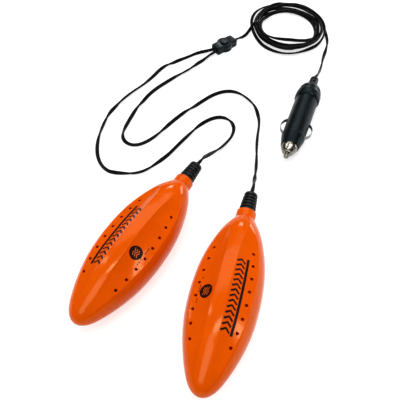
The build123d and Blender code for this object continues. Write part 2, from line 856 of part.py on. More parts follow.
def plug_wires():
    """The main cord's cores inside the plug."""
    start = RELIEF_LENGTH + 4.2
    end = CARRIER_START - 2.2
    plus = [
        (start, 0.9, 0),
        (start + 5.0, 1.1, 0),
        (start + 12.0, 4.2, 0.5),
        (start + 19.0, 2.6, 0.3),
        (end, 2.6, 0.0),
    ]
    minus = [
        (start, -0.9, 0),
        (start + 5.0, -1.1, 0),
        (start + 12.0, -4.8, 0.5),
        (start + 19.0, -6.2, 0.3),
        (end, -6.4, 0.0),
    ]
    return group([swept(route, WIRE_RADIUS) for route in (plus, minus)])


def build_plug():
    """The car plug in its place."""
    place = Location((*PLUG_CABLE_END, PLUG_AXIS_Z)) * Rot(0, 0, 90 - PLUG_HEADING)
    pieces = {
        "plug_strain_relief": plug_strain_relief(),
        "plug_end_cap": plug_end_cap(),
        "plug_barrel": plug_barrel(),
        "plug_fuse_carrier": fuse_carrier(),
        "plug_fuse_glass": fuse_glass(),
        "plug_fuse_caps": fuse_caps(),
        "plug_fuse_spring": fuse_spring(),
        "plug_fuse_seat": fuse_seat(),
        "plug_nose_ring": nose_ring(),
        "plug_metal_cone": metal_cone(),
        "plug_tip_pin": tip_pin(),
        "plug_tip_spring": tip_spring(),
        "plug_left_ground_spring": ground_spring(1),
        "plug_right_ground_spring": ground_spring(-1),
        "plug_wires": plug_wires(),
    }
    for name, piece in pieces.items():
        save(name, place * piece)


build_pods()
build_cords()
build_switch()
build_plug()
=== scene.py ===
"""Boot dryer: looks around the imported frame. Metres, +Z up, floor at z = 0."""
import json
from math import atan2, cos, hypot, pi, radians, sin, sqrt, tan, tau

import bmesh
import bpy
import numpy as np
from mathutils import Matrix, Vector

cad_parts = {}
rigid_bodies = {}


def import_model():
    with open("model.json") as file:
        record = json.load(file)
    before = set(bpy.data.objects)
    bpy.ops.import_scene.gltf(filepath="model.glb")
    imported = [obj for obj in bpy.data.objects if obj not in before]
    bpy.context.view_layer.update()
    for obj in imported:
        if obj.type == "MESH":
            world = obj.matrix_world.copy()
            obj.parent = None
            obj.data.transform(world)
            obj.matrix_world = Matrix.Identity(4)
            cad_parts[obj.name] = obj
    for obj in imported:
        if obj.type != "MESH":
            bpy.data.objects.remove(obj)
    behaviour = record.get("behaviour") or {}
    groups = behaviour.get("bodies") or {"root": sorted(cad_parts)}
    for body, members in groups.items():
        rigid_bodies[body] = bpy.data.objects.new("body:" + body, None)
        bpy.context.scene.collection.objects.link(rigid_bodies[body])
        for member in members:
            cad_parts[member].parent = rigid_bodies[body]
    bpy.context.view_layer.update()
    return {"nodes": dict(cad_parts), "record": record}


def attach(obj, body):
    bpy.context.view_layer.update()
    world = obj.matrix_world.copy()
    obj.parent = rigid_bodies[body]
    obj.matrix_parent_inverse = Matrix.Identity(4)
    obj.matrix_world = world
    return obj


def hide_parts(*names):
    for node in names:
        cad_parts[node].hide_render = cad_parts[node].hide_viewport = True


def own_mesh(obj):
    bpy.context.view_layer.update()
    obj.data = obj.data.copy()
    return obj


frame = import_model()

# Lengths are in millimetres, as in the part, until a piece is laid in its place
MM = 0.001
TO_METRES = Matrix.Scale(MM, 4)

# ---------------- camera
CAMERA_TARGET = Vector((20.1, 69.6, 0.0)) * MM
CAMERA_DISTANCE = 0.390
CAMERA_ELEVATION = radians(54)
CAMERA_LENS = 43.2  # on a sensor of Blender's usual width, in mm
CAMERA_SENSOR = 36
CAMERA_NEAREST = 0.01


def make_camera():
    """Camera looking down at the dryer from the pods' tips."""
    data = bpy.data.cameras.new("camera")
    data.lens = CAMERA_LENS
    data.sensor_width = CAMERA_SENSOR
    data.clip_start = CAMERA_NEAREST
    camera = bpy.data.objects.new("camera", data)
    back = Vector((0, -cos(CAMERA_ELEVATION), sin(CAMERA_ELEVATION)))
    camera.location = CAMERA_TARGET + back * CAMERA_DISTANCE
    camera.rotation_euler = (pi / 2 - CAMERA_ELEVATION, 0, 0)
    bpy.context.collection.objects.link(camera)
    bpy.context.scene.camera = camera


# ---------------- materials
NOISE_RANGE = (0.3, 0.7)  # most of a noise texture's values lie in it
MIX_COLOURS = (6, 7)  # a mix node's two colour inputs
MIX_RESULT = 2


def node(tree, kind, **values):
    """New shader node with some of its sockets and properties set."""
    made = tree.nodes.new(kind)
    for name, value in values.items():
        if name in made.inputs:
            made.inputs[name].default_value = value
        else:
            setattr(made, name, value)
    return made


def noise(tree, place, scale, detail=3.0):
    """Noise texture with features about 1 / scale metres across."""
    made = node(tree, "ShaderNodeTexNoise", Scale=scale, Detail=detail)
    tree.links.new(place.outputs["Object"], made.inputs["Vector"])
    return made


def spread(tree, source, low, high):
    """Noise mapped to a range."""
    made = node(tree, "ShaderNodeMapRange")
    for name, value in zip(("From Min", "From Max", "To Min", "To Max"), (*NOISE_RANGE, low, high)):
        made.inputs[name].default_value = value
    tree.links.new(source.outputs["Fac"], made.inputs["Value"])
    return made


def surface(name, colours, roughness, grain, metallic=0.0, patches=60.0, **extra):
    """Material with two close colours in patches, uneven gloss and a fine grain.

    colours is a pair, roughness a range, and grain is (features per metre, bump strength, height).
    """
    material = bpy.data.materials.new(name)
    material.use_nodes = True
    tree = material.node_tree
    shader = tree.nodes["Principled BSDF"]
    shader.inputs["Metallic"].default_value = metallic
    for socket, value in extra.items():
        shader.inputs[socket.replace("_", " ")].default_value = value
    place = node(tree, "ShaderNodeTexCoord")
    mix = node(tree, "ShaderNodeMix", data_type="RGBA")
    for socket, colour in zip(MIX_COLOURS, colours):
        mix.inputs[socket].default_value = (*colour, 1)
    blotches = spread(tree, noise(tree, place, patches), 0.0, 1.0)
    tree.links.new(blotches.outputs["Result"], mix.inputs["Factor"])
    tree.links.new(mix.outputs[MIX_RESULT], shader.inputs["Base Color"])
    gloss = spread(tree, noise(tree, place, patches * 4), *roughness)
    tree.links.new(gloss.outputs["Result"], shader.inputs["Roughness"])
    fine = noise(tree, place, grain[0])
    relief = node(tree, "ShaderNodeBump", Strength=grain[1], Distance=grain[2])
    tree.links.new(fine.outputs["Fac"], relief.inputs["Height"])
    tree.links.new(relief.outputs["Normal"], shader.inputs["Normal"])
    return material


FINE, COARSE, INK = 0.00006, 0.0001, 0.00005  # heights of the grain, in metres
SURFACES = (  # name, colours, roughness, grain, and what else surface takes
    ("orange_shell", ((0.75, 0.111, 0.0006), (0.69, 0.099, 0.0004)),
     (0.11, 0.17), (900, 0.05, COARSE),
     dict(Specular_IOR_Level=0.27, Specular_Tint=(1.0, 0.80, 0.50, 1))),
    # painted shade: deep red for the vents' walls, standing in for the shade inside the holes
    ("painted_vent_shade", ((0.34, 0.010, 0.004), (0.26, 0.008, 0.003)),
     (0.45, 0.6), (900, 0.05, COARSE), dict(Specular_IOR_Level=0.2)),
    ("black_rubber", ((0.0035, 0.0038, 0.0038), (0.0055, 0.0058, 0.0058)),
     (0.28, 0.42), (2600, 0.2, COARSE), dict(Specular_IOR_Level=0.45)),
    ("cord_sheath", ((0.0022, 0.0024, 0.0025), (0.0035, 0.0038, 0.0040)),
     (0.28, 0.45), (1800, 0.15, COARSE), dict(Specular_IOR_Level=0.12)),
    ("black_plastic", ((0.0026, 0.0040, 0.0043), (0.0038, 0.0056, 0.0061)),
     (0.30, 0.42), (3000, 0.18, FINE),
     dict(Specular_IOR_Level=0.26, Specular_Tint=(0.60, 0.88, 1.0, 1))),
    ("button_plastic", ((0.014, 0.018, 0.020), (0.019, 0.024, 0.026)),
     (0.32, 0.45), (3000, 0.15, FINE), dict(Specular_IOR_Level=0.3)),
    ("nickel", ((0.30, 0.28, 0.24), (0.22, 0.205, 0.17)),
     (0.18, 0.30), (1500, 0.03, COARSE), dict(metallic=1.0, patches=300.0)),
    ("spring_steel", ((0.30, 0.30, 0.30), (0.20, 0.20, 0.21)),
     (0.22, 0.38), (2500, 0.10, FINE), dict(metallic=1.0, patches=300.0)),
    ("screw_steel", ((0.55, 0.55, 0.54), (0.42, 0.42, 0.42)),
     (0.25, 0.40), (2500, 0.10, FINE), dict(metallic=1.0, patches=300.0)),
    ("heater_ceramic", ((0.16, 0.12, 0.09), (0.22, 0.17, 0.13)),
     (0.6, 0.8), (2500, 0.35, COARSE), dict(patches=400.0)),
    ("brass", ((0.60, 0.42, 0.15), (0.48, 0.33, 0.12)),
     (0.22, 0.40), (2000, 0.10, FINE), dict(metallic=1.0, patches=200.0)),
    ("mica", ((0.55, 0.48, 0.33), (0.44, 0.38, 0.26)),
     (0.3, 0.5), (1500, 0.2, COARSE), dict(patches=250.0)),
    ("aluminium", ((0.66, 0.67, 0.68), (0.56, 0.57, 0.58)),
     (0.28, 0.42), (1800, 0.12, FINE), dict(metallic=1.0, patches=200.0)),
    ("holder_plastic", ((0.62, 0.58, 0.48), (0.56, 0.52, 0.43)),
     (0.4, 0.55), (2500, 0.12, FINE), {}),
    ("cutout_case", ((0.02, 0.02, 0.022), (0.03, 0.03, 0.032)),
     (0.35, 0.5), (2500, 0.15, FINE), {}),
    ("wire_red", ((0.30, 0.012, 0.010), (0.24, 0.010, 0.009)),
     (0.35, 0.5), (2500, 0.12, FINE), {}),
    ("fuse_glass", ((0.85, 0.90, 0.90), (0.80, 0.86, 0.86)),
     (0.03, 0.08), (800, 0.04, FINE), dict(Transmission_Weight=0.9, IOR=1.5)),
    ("black_ink", ((0.008, 0.003, 0.002), (0.014, 0.005, 0.003)),
     (0.35, 0.5), (3000, 0.1, INK), dict(patches=500.0, Specular_IOR_Level=0.2)),
    ("orange_ink", ((0.70, 0.12, 0.01), (0.62, 0.10, 0.01)),
     (0.35, 0.5), (3000, 0.1, INK), dict(patches=500.0)),
)


def make_materials():
    """One material for each of the record's slots, the painted shade on the vents' walls and the
    two printing inks.
    """
    return {
        name: surface(name, colours, roughness, grain, **extra)
        for name, colours, roughness, grain, extra in SURFACES
    }


# ---------------- mesh helpers
SHARP = 32  # degrees an edge turns by before it is drawn sharp
SHARP_RIBBON = 60  # the same for coil springs and prints
SHARP_CORD = 50  # the same for cords and earth springs
MERGE = 0.0005  # points this near each other become one
SLIVER = 0.0001
SPRING_STEPS = 28  # rings of a coil spring per turn
SPRING_CORNERS = 8


def new_object(name, data):
    """Link a new object."""
    obj = bpy.data.objects.new(name, data)
    bpy.context.collection.objects.link(obj)
    return obj


def mesh_object(name, points, faces, sharp=SHARP):
    """Mesh object, smooth but for edges that turn by more than sharp degrees."""
    mesh = bpy.data.meshes.new(name)
    mesh.from_pydata(np.asarray(points, float).tolist(), [], faces)
    form = bmesh.new()
    form.from_mesh(mesh)
    bmesh.ops.remove_doubles(form, verts=form.verts, dist=MERGE)
    bmesh.ops.dissolve_degenerate(form, edges=form.edges, dist=SLIVER)
    bmesh.ops.recalc_face_normals(form, faces=form.faces)
    form.to_mesh(mesh)
    form.free()
    mesh.shade_smooth()
    mesh.set_sharp_from_angle(angle=radians(sharp))
    return new_object(name, mesh)


def ring_faces(rings, around, ends="open", start=0):
    """Quads between rings of equal size, whose ends are open, capped or joined to each other."""
    faces = []
    for r in range(rings if ends == "joined" else rings - 1):
        for k in range(around):
            a, b = r * around, (r + 1) % rings * around
            k2 = (k + 1) % around
            faces.append((start + a + k, start + a + k2, start + b + k2, start + b + k))
    if ends == "capped":
        last = (rings - 1) * around
        faces.append(tuple(start + k for k in reversed(range(around))))
        faces.append(tuple(start + last + k for k in range(around)))
    return faces


def rounded(outline, steps=5):
    """Closed outline in which each corner with a third value is rounded by about that radius."""
    points = []
    for k, corner in enumerate(outline):
        here = np.array(corner[:2], float)
        if len(corner) < 3:
            points.append(here)
            continue
        back = np.array(outline[k - 1][:2], float) - here
        ahead = np.array(outline[(k + 1) % len(outline)][:2], float) - here
        runs = np.linalg.norm(back), np.linalg.norm(ahead)
        half = np.arccos(np.clip(back @ ahead / (runs[0] * runs[1]), -1, 1)) / 2
        reach = min(corner[2] / tan(half), 0.49 * min(runs))
        first, last = here + back / runs[0] * reach, here + ahead / runs[1] * reach
        for t in np.linspace(0, 1, steps):
            points.append(first * (1 - t) ** 2 + here * 2 * t * (1 - t) + last * t**2)
    return points


def lathe(name, outline, around=72):
    """Body of revolution about +X from a closed outline of (x, radius) points."""
    profile = rounded(outline)
    angles = np.linspace(0, tau, around, endpoint=False)
    points = [(x, r * cos(a), r * sin(a)) for x, r in profile for a in angles]
    return mesh_object(name, points, ring_faces(len(profile), around, "joined"))


def box_points(low, high):
    """Corners of a box, as two rings of four."""
    (x0, y0, z0), (x1, y1, z1) = low, high
    return [(x, y, z) for z in (z0, z1) for x, y in ((x0, y0), (x1, y0), (x1, y1), (x0, y1))]


def cutter(shapes):
    """One object from several (points, ring size) prisms."""
    points, faces = [], []
    for corners, around in shapes:
        faces += ring_faces(len(corners) // around, around, "capped", len(points))
        points += list(corners)
    return mesh_object("cutter", points, faces)


def cut(obj, tool):
    """Cut a tool out of an object, and remove the tool."""
    modifier = obj.modifiers.new("cut", "BOOLEAN")
    modifier.operation = "DIFFERENCE"
    modifier.solver = "EXACT"
    modifier.object = tool
    bpy.context.view_layer.update()
    graph = bpy.context.evaluated_depsgraph_get()
    result = bpy.data.meshes.new_from_object(obj.evaluated_get(graph))
    obj.modifiers.clear()
    obj.data = result
    bpy.data.objects.remove(tool)
    result.shade_smooth()
    result.set_sharp_from_angle(angle=radians(SHARP))
    return obj


def joined(name, parts):
    """Several mesh objects as one."""
    form = bmesh.new()
    for part in parts:
        form.from_mesh(part.data)
        bpy.data.objects.remove(part)
    mesh = bpy.data.meshes.new(name)
    form.to_mesh(mesh)
    form.free()
    mesh.set_sharp_from_angle(angle=radians(SHARP))
    return new_object(name, mesh)


def settle(obj, place, body, slot, replaced=(), material=None):
    """Lay a piece in its place, give it its material and tie it to the frame."""
    obj.data.transform(place)
    obj.data.materials.append(MATERIALS[material or slot])
    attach(obj, body)
    if replaced:
        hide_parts(*replaced)
    return obj


def helix(name, radius, wire, turns, length):
    """Coil spring along +X from x = 0, with closed end turns."""
    steps = int(turns * SPRING_STEPS)
    points = []
    for k in range(steps + 1):
        share = k / steps
        angle = share * turns * tau
        lead = sin(pi * (share - 0.5)) / 2 + 0.5
        x = wire + (length - 2 * wire) * (0.5 * share + 0.5 * lead)
        middle = Vector((x, radius * cos(angle), radius * sin(angle)))
        outward = Vector((0, cos(angle), sin(angle)))
        for j in range(SPRING_CORNERS):
            turn = j * tau / SPRING_CORNERS
            points.append(middle + wire * (outward * cos(turn) + Vector((1, 0, 0)) * sin(turn)))
    return mesh_object(name, points, ring_faces(steps + 1, SPRING_CORNERS, "capped"), SHARP_RIBBON)


# ---------------- cords
CORD_WIDTH = 3.4
CORD_LOBE = 0.9
CORD_OFFSET = CORD_WIDTH / 2 - CORD_LOBE
LIE = 1.7  # height of a cord's middle over the floor
CORD_CORNERS = 20
CORD_RISE = 10  # stretch at each end in which a cord is not laid on the floor
CORD_FLAT_END = 20  # stretch at each end in which its roll fades
ROLL_SLOW = 1.9  # height in radians of the roll's slow wave
ROLL_FAST = 0.8
ROLL_FAST_PERIOD = 0.37  # share of the slow wave's period
LINE_STEPS = 10  # points of a cord's line between two of its route
SAME_POINT = 0.001  # a shorter step of that line is dropped
SWITCH_INLET_Z = 3.8
PLUG_AXIS_Z = 11.6
LEFT_LEAD = [
    (17.1, 88.2, 21.0), (21.8, 96.6, 20.5), (26.5, 106.5, 13.0),
    (33.0, 117.5, 5.0), (41.5, 128.5, LIE), (50.5, 141.5, LIE),
    (51.0, 157.0, LIE), (39.0, 164.5, LIE), (25.0, 159.0, LIE),
    (7.0, 138.0, LIE), (-11.0, 112.5, LIE), (-28.0, 97.5, LIE),
    (-46.0, 95.5, LIE), (-62.0, 100.5, LIE), (-70.5, 119.0, LIE),
    (-70.5, 144.0, LIE), (-64.0, 172.0, LIE), (-47.0, 196.5, LIE),
    (-31.0, 212.5, LIE), (-17.0, 237.0, LIE), (5.0, 249.0, LIE),
    (16.5, 257.0, LIE), (26.0, 259.6, 2.8), (34.4, 260.8, SWITCH_INLET_Z),
]
RIGHT_LEAD = [
    (59.2, 59.1, 21.0), (61.5, 67.6, 20.5), (63.5, 78.5, 12.5),
    (66.3, 92.5, 4.5), (68.5, 108.0, LIE), (70.5, 134.0, LIE),
    (75.5, 160.0, LIE), (71.0, 182.5, LIE), (56.5, 198.5, LIE),
    (38.0, 198.5, LIE), (18.0, 181.0, LIE), (-2.0, 162.5, LIE),
    (-15.0, 144.5, LIE), (-27.0, 132.8, LIE), (-36.8, 128.2, LIE),
    (-45.6, 131.2, LIE), (-50.0, 139.6, LIE), (-48.0, 150.2, LIE),
    (-43.0, 166.0, LIE), (-35.5, 183.5, LIE), (-23.5, 202.5, LIE),
    (-3.0, 221.0, LIE), (14.5, 236.5, LIE), (26.2, 249.4, 2.2),
    (31.6, 254.0, 3.2), (36.8, 257.9, SWITCH_INLET_Z),
]
MAIN_CORD_START = [
    (55.6, 275.8, SWITCH_INLET_Z), (60.5, 280.0, 3.6), (66.5, 284.0, 2.2),
    (72.0, 291.0, 3.4),
]
MAIN_CORD_END = [
    (156.4, 281.0, 2.2), (153.5, 267.0, LIE), (147.0, 250.0, LIE),
    (142.5, 234.0, LIE), (138.5, 224.0, 3.5), (134.5, 214.5, 8.5),
    (131.6, 208.9, 11.2), (129.8, 204.2, PLUG_AXIS_Z),
]

# Coil: an oval bundle of turns between an outer and an inner oval, wound clockwise.
# Each half turn has a lane across the bundle, -1 to 1 from the inner oval, and a level.
COIL_OUTER = ((118.0, 301.7), (39.3, 45.4))
COIL_INNER = ((115.6, 298.2), (29.6, 28.8))
COIL_LEVEL = 2.0
COIL_LEFT_LANES = [0.3, -0.5, 0.15, 0.8, -0.95, -0.1, 1.0, 0.5]
COIL_LEFT_LEVELS = [1.6, 0, 0.1, 1.1, 1.2, 2.1, 0, 2.2]
COIL_RIGHT_LANES = [-0.35, 0.1, -0.9, 0.55, -0.55, 0.8, 0.25, 1.0]
COIL_RIGHT_LEVELS = [0, 0, 0.1, 0, 1.2, 1.1, 1.9, 0.6]
COIL_POINTS_PER_TURN = 16
# Half turns that stray across the hole or out of the bundle: the middle of the stretch in
# degrees, and how far as a share of the distance from the coil's middle
COIL_DRAWN_IN = {7: (265, 0.42), 3: (240, 0.17)}
COIL_PUSHED_OUT = {12: (35, 0.13), 11: (305, 0.10)}
COIL_DRAWN_WIDTH = radians(88)
COIL_PUSHED_WIDTH = radians(60)


def oval(shape, angle):
    """Point of an oval at an angle, clockwise from its left end."""
    (x, y), (a, b) = shape
    return np.array((x - a * cos(angle), y + b * sin(angle)))


def bump(angle, middle, width):
    """Smooth bump of height one round an angle."""
    away = (angle - middle + pi) % tau - pi
    return max(0.0, cos(min(1.0, abs(away) / width) * pi / 2)) ** 2


def coil_turns():
    """Control points of the coil, from its left side to its right side."""
    lanes = [lane for pair in zip(COIL_LEFT_LANES, COIL_RIGHT_LANES) for lane in pair]
    levels = [level for pair in zip(COIL_LEFT_LEVELS, COIL_RIGHT_LEVELS) for level in pair]
    steps = (len(lanes) - 1) * COIL_POINTS_PER_TURN // 2
    points = []
    for k in range(1, steps):
        half_turns = k * 2 / COIL_POINTS_PER_TURN
        angle = half_turns * pi
        before = min(int(half_turns), len(lanes) - 2)
        share = half_turns - before
        share = share * share * (3 - 2 * share)
        lane = lanes[before] + (lanes[before + 1] - lanes[before]) * share
        level = levels[before] + (levels[before + 1] - levels[before]) * share
        inner, outer = oval(COIL_INNER, angle), oval(COIL_OUTER, angle)
        place = inner + (outer - inner) * (lane + 1) / 2
        if before in COIL_DRAWN_IN:
            middle, depth = COIL_DRAWN_IN[before]
            pull = bump(angle, radians(middle), COIL_DRAWN_WIDTH)
            place = place + (np.array(COIL_INNER[0]) - place) * depth * pull
        if before in COIL_PUSHED_OUT:
            middle, depth = COIL_PUSHED_OUT[before]
            push = bump(angle, radians(middle), COIL_PUSHED_WIDTH)
            place = place + (place - np.array(COIL_OUTER[0])) * depth * push
        points.append((place[0], place[1], LIE + level * COIL_LEVEL))
    return points


def spline_points(name, route):
    """Fine points along the smooth line of a route."""
    curve = bpy.data.curves.new(name, "CURVE")
    curve.dimensions = "3D"
    curve.resolution_u = LINE_STEPS
    spline = curve.splines.new("NURBS")
    spline.points.add(len(route) - 1)
    for point, place in zip(spline.points, route):
        point.co = (*place, 1)
    spline.order_u = 3
    spline.use_endpoint_u = True
    holder = new_object(name, curve)
    bpy.context.view_layer.update()
    line = bpy.data.meshes.new_from_object(holder)
    points = np.array([v.co for v in line.vertices])
    bpy.data.objects.remove(holder)
    bpy.data.meshes.remove(line)
    steps = np.linalg.norm(np.diff(points, axis=0), axis=1)
    return points[np.r_[True, steps > SAME_POINT]]


def twin_section(count):
    """Outline of two cores side by side: (across, up) offsets."""
    waist = sqrt(CORD_LOBE**2 - CORD_OFFSET**2)
    open_angle = pi - atan2(waist, CORD_OFFSET)
    angles = np.linspace(-open_angle, open_angle, count // 2)
    right = [(CORD_OFFSET + CORD_LOBE * cos(a), CORD_LOBE * sin(a)) for a in angles]
    left = [(-x, -y) for x, y in right]
    return np.array(right + left)


def twin_cord(name, route, twist):
    """Flat twin cord along a route; twist gives its roll in radians at a distance along it."""
    path = spline_points(name, route)
    along = np.r_[0, np.cumsum(np.linalg.norm(np.diff(path, axis=0), axis=1))]
    section = twin_section(CORD_CORNERS)
    points = []
    for k, place in enumerate(path):
        ahead = path[min(k + 1, len(path) - 1)] - path[max(k - 1, 0)]
        ahead /= np.linalg.norm(ahead)
        across = np.cross(ahead, (0, 0, 1))
        across /= np.linalg.norm(across)
        up = np.cross(across, ahead)
        roll = twist(along[k], along[-1])
        wide = across * cos(roll) + up * sin(roll)
        tall = up * cos(roll) - across * sin(roll)
        half_height = CORD_LOBE + CORD_OFFSET * abs(sin(roll))
        sink = np.array((0, 0, half_height - LIE))
        sink *= min(1.0, along[k] / CORD_RISE, (along[-1] - along[k]) / CORD_RISE)
        for a, b in section:
            points.append(place + sink + wide * a + tall * b)
    cord = mesh_object(name, points, ring_faces(len(path), len(section), "capped"), SHARP_CORD)
    return cord, path, along[-1]


def lead_twist(phase, period):
    """Slow uneven roll, flat at the cord's two ends."""
    def roll(s, length):
        fade = min(1.0, s / CORD_FLAT_END, (length - s) / CORD_FLAT_END)
        slow = ROLL_SLOW * sin(tau * s / period + phase)
        return fade * (slow + ROLL_FAST * sin(tau * s / (period * ROLL_FAST_PERIOD)))
    return roll


def make_cords():
    """Both leads and the main cord with its coil."""
    plug = [name for name in frame["nodes"] if name.startswith("plug_")]
    plug += ["plug_sleeve", "plug_cap"]
    switch = [obj.name for obj in bpy.data.objects if obj.name.startswith("switch_")]
    main_route = MAIN_CORD_START + coil_turns() + MAIN_CORD_END
    main_nodes = ("main_cord_start", "cord_coil", "main_cord_end")
    cords = (
        ("left_lead_cord", LEFT_LEAD, (0.4, 160), ("left_lead",), "fitting", "loose", switch),
        ("right_lead_cord", RIGHT_LEAD, (2.1, 160), ("right_lead",), "fitting", "loose", switch),
        ("main_cord", main_route, (1.0, 210), main_nodes, "plug", "coiled", plug),
    )
    for name, route, twist, replaced, far_end, lay, carried in cords:
        cord, path, length = twin_cord(name, route, lead_twist(*twist))
        settle(cord, TO_METRES, "dryer", "cord_sheath", replaced)
        print(name, "length", round(length), "mm")


# ---------------- pods
POD_LENGTH = 135.0
POD_WIDTH = 48.0
POD_FLATNESS = 0.875
POD_WALL = 1.8
COLLAR_RADIUS = 7.4
COLLAR_LENGTH = 6.5
COLLAR_BORE = 4.2
NECK = POD_LENGTH - COLLAR_LENGTH
BORE_START = NECK - 6.5
PODS = {  # centre, heading from +Y towards +X, roll about the axis
    "left": (-26.0, 15.0, 30.5, 3.2),
    "right": (37.2, -23.0, 15.0, -5.6),
}
POD_OUTLINE = [  # share of the length from the tip, share of the width
    (0.035, 0.173), (0.111, 0.290), (0.222, 0.402), (0.333, 0.471), (0.460, 0.500),
    (0.580, 0.492), (0.690, 0.450), (0.790, 0.375), (0.880, 0.274),
]
FLUTE_AZIMUTH = radians(32.5)
FLUTE_SECTION = 35.0
FLUTE_DEPTH = [  # distance from the tip, depth under the pod's outline
    (4.0, -0.5), (8.0, 0.0), (14.0, 0.4), (23.0, 1.05), (45.0, 2.4), (68.0, 3.0),
    (88.0, 2.5), (99.0, 1.75), (106.0, 1.0), (112.5, 0.0), (118.0, -1.3), (124.0, -1.8),
]
CREASE = 0.15  # softness of the flutes' edges
NARROWEST = radians(2)
SEAM = 0.16
VENT_RADIUS = 1.0
VENT_AZIMUTH = 51.7  # in degrees in the middle of a row, which bows in at its ends
VENT_BOW = 0.0035
VENT_MIDDLE = 58.0
VENT_COUNT = 8
VENT_FIRST = 28.8
VENT_PITCH = 9.3
SCREW_X = (32.0, 112.0)
SCREW_RECESS = 2.3
SCREW_HOLE = 1.2
SCREW_POST = 3.2
TOOL_REACH = (8.0, 40.0)  # from inside the skin to outside the pod
CUT_WALL = 0.02  # a face this near a tool's side is a cut one
ROUND_FROM = 98.0  # where the pod starts to become round towards the collar
SLOPE_STEP = 0.02
BOOT_LENGTH = 17.5
BOOT_BORE = 1.75
BOOT_FOOT = 5.5
BOOT_NECK = 4.1
BOOT_RIDGES = 6
BOOT_CREST = 6.4  # radius of the first ridge
BOOT_TAPER = 1.1  # what the last ridge is smaller by
BOOT_GROOVE = 1.15


def smooth_line(knots):
    """Natural cubic spline through (position, value) knots."""
    x, y = np.array(knots, float).T
    h = np.diff(x)
    last = len(x) - 2
    lines, bends = np.eye(len(x)), np.zeros(len(x))
    for i in range(1, len(x) - 1):
        lines[i, i - 1:i + 2] = h[i - 1], 2 * (h[i - 1] + h[i]), h[i]
        bends[i] = 6 * ((y[i + 1] - y[i]) / h[i] - (y[i] - y[i - 1]) / h[i - 1])
    m = np.linalg.solve(lines, bends)

    def value(at):
        i = int(np.clip(np.searchsorted(x, at) - 1, 0, last))
        t = at - x[i]
        slope = (y[i + 1] - y[i]) / h[i] - h[i] * (2 * m[i] + m[i + 1]) / 6
        return y[i] + t * (slope + t * (m[i] / 2 + t * (m[i + 1] - m[i]) / (6 * h[i])))
    return value


# The outline is a spline of the square root of the distance from the tip, so the tip is round
root_radius = smooth_line(
    [(0, 0)]
    + [(sqrt(share * POD_LENGTH), width * POD_WIDTH) for share, width in POD_OUTLINE]
    + [(sqrt(NECK), COLLAR_RADIUS)]
)
flute_depth = smooth_line(FLUTE_DEPTH)


def outline_radius(x):
    """Radius of the pod's ribs at a distance from the tip."""
    return root_radius(sqrt(min(x, NECK)))


def flute_centre(x):
    """Distance from the pod's axis to the centre of a flute's round section."""
    return outline_radius(x) - flute_depth(min(x, FLUTE_DEPTH[-1][0])) + FLUTE_SECTION


def flute_half_width(x):
    """Half the angle between a flute's two edges."""
    rib, centre = outline_radius(x), flute_centre(x)
    if rib < 0.5:
        return NARROWEST
    share = (rib**2 + centre**2 - FLUTE_SECTION**2) / (2 * rib * centre)
    return max(NARROWEST, np.arccos(min(1.0, share)))


def pod_radius(x, azimuth):
    """Distance from the axis to the fluted surface, before the pod is flattened."""
    rib, centre = outline_radius(x), flute_centre(x)
    off = abs(azimuth) - FLUTE_AZIMUTH
    inside = FLUTE_SECTION**2 - (centre * sin(off)) ** 2
    if inside <= 0 or x > NECK or x < FLUTE_DEPTH[0][0]:
        return rib
    floor = centre * cos(off) - sqrt(inside)
    soft = max(0.0, CREASE - abs(rib - floor)) / CREASE
    return min(rib, floor) - soft**2 * CREASE / 4


def pod_flatness(x):
    """Height over width, which becomes round towards the collar."""
    share = np.clip((x - ROUND_FROM) / (NECK - ROUND_FROM), 0, 1)
    return POD_FLATNESS + (1 - POD_FLATNESS) * share**2 * (3 - 2 * share)


def pod_point(x, radius, azimuth):
    """Point at an azimuth from the pod's top, on a section of a given radius."""
    return (x, radius * sin(azimuth), radius * cos(azimuth) * pod_flatness(x))


def half_columns(x):
    """Azimuths from the top to the seam, drawn close together at the flute's edges and the seam."""
    half = flute_half_width(x)
    step = min(1.0, half / radians(8)) * radians(1)
    first, last = FLUTE_AZIMUTH - half, FLUTE_AZIMUTH + half
    near = step * np.array((-1.7, -1.1, -0.6, -0.2, 0.2, 0.6, 1.1, 1.7))
    seam = pi / 2 - radians(1) * np.array((2.2, 1.3, 0.7, 0.3, 0))
    return np.concatenate((
        np.linspace(0, first + near[0], 8)[:-1],
        first + near,
        np.linspace(first + near[-1], last + near[0], 22)[1:-1],
        last + near,
        np.linspace(last + near[-1], seam[0], 16)[1:-1],
        seam,
    ))


def body_rows():
    """(distance from the tip, radius of the collar or None) for each row of the shell's grid."""
    tip = np.linspace(0, sqrt(9), 14) ** 2
    rows = [(x, None) for x in tip]
    rows += [(x, None) for x in np.linspace(9.8, NECK - 0.15, 132)]
    rows += [(NECK, COLLAR_RADIUS - 0.05), (NECK + 0.25, COLLAR_RADIUS)]
    end = (POD_LENGTH, COLLAR_RADIUS, 0.45), (POD_LENGTH, 0)
    rim = rounded([(NECK, 0), (NECK, COLLAR_RADIUS), *end])
    rows += [(x, r) for x, r in rim[2:-1]]
    return rows


def inner_point(x, radius, collar, azimuth):
    """Point of the inner skin behind a point of the outer skin."""
    if collar is not None or x > BORE_START:
        return pod_point(x, COLLAR_BORE, azimuth)
    ahead, behind = sqrt(x) + SLOPE_STEP, max(0, sqrt(x) - SLOPE_STEP)
    rise = (root_radius(ahead) - root_radius(behind)) / (2 * SLOPE_STEP)
    slant = hypot(2 * sqrt(x), rise)
    inward = max(0.0, radius - POD_WALL * 2 * sqrt(x) / slant)
    return pod_point(x + POD_WALL * rise / slant, inward, azimuth)


